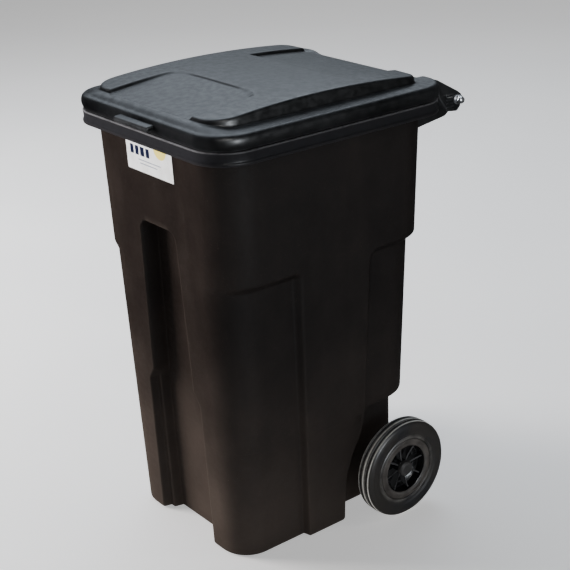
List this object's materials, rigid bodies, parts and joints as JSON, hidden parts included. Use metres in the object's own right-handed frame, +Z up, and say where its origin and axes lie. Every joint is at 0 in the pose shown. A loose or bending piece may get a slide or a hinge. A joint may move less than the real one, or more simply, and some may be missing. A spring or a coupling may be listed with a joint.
{
  "type": "wheeled refuse cart",
  "caption": "Tall moulded refuse cart with a hinged lid, a handle bar across the back and a pair of rubber-tyred wheels on a steel axle.",
  "frame": {"origin": "middle of the cart's outer box, on the floor it stands on", "axes": "+Z up; -Y towards the front, where the lid grip tab is; +X towards the side of the pieces named _right"},
  "size_m": [0.628, 0.7649, 1.095],
  "materials": {
    "tub_plastic": "charcoal rotomoulded polyethylene, matte, with fine grain and light scuffs",
    "lid_plastic": "charcoal moulded polyethylene, satin, with a soft sheen",
    "tyre_rubber": "black solid rubber, dusty on the tread ribs",
    "hub_plastic": "black moulded plastic, semi-gloss",
    "nylon": "natural nylon",
    "steel": "zinc-plated steel",
    "nut_chrome": "bright-plated, slightly dulled",
    "label_film": "white printed film with a plain pale yellow block"
  },
  "bodies": {
    "root": {"tub": "tub_plastic", "hinge_rod": "steel", "handle_bar": "tub_plastic", "axle": "steel", "front_label": "label_film", "hinge_washer_right": "steel", "hinge_washer_left": "steel", "hinge_nut_right": "nut_chrome", "hinge_nut_left": "nut_chrome", "axle_spacer_right": "hub_plastic", "axle_spacer_left": "hub_plastic", "axle_washer_right": "steel", "axle_washer_left": "steel", "push_nut_right": "steel", "push_nut_left": "steel"},
    "lid": {"lid": "lid_plastic", "lid_bush_right": "nylon", "lid_bush_left": "nylon"},
    "wheel_right": {"tyre_right": "tyre_rubber", "wheel_hub_right": "hub_plastic", "wheel_bush_right": "nylon", "hub_cap_right": "hub_plastic"},
    "wheel_left": {"tyre_left": "tyre_rubber", "wheel_hub_left": "hub_plastic", "wheel_bush_left": "nylon", "hub_cap_left": "hub_plastic"}
  },
  "joints": [
    {"name": "lid_hinge", "type": "hinge", "parent": "root", "child": "lid", "pos_m": [0, 0.364, 0.998], "axis": [-1, 0, 0], "range_deg": [0, 260]},
    {"name": "wheel_right_spin", "type": "hinge", "parent": "root", "child": "wheel_right", "pos_m": [0.29, 0.1376, 0.125], "axis": [1, 0, 0], "continuous": true},
    {"name": "wheel_left_spin", "type": "hinge", "parent": "root", "child": "wheel_left", "pos_m": [-0.29, 0.1376, 0.125], "axis": [1, 0, 0], "continuous": true}
  ]
}
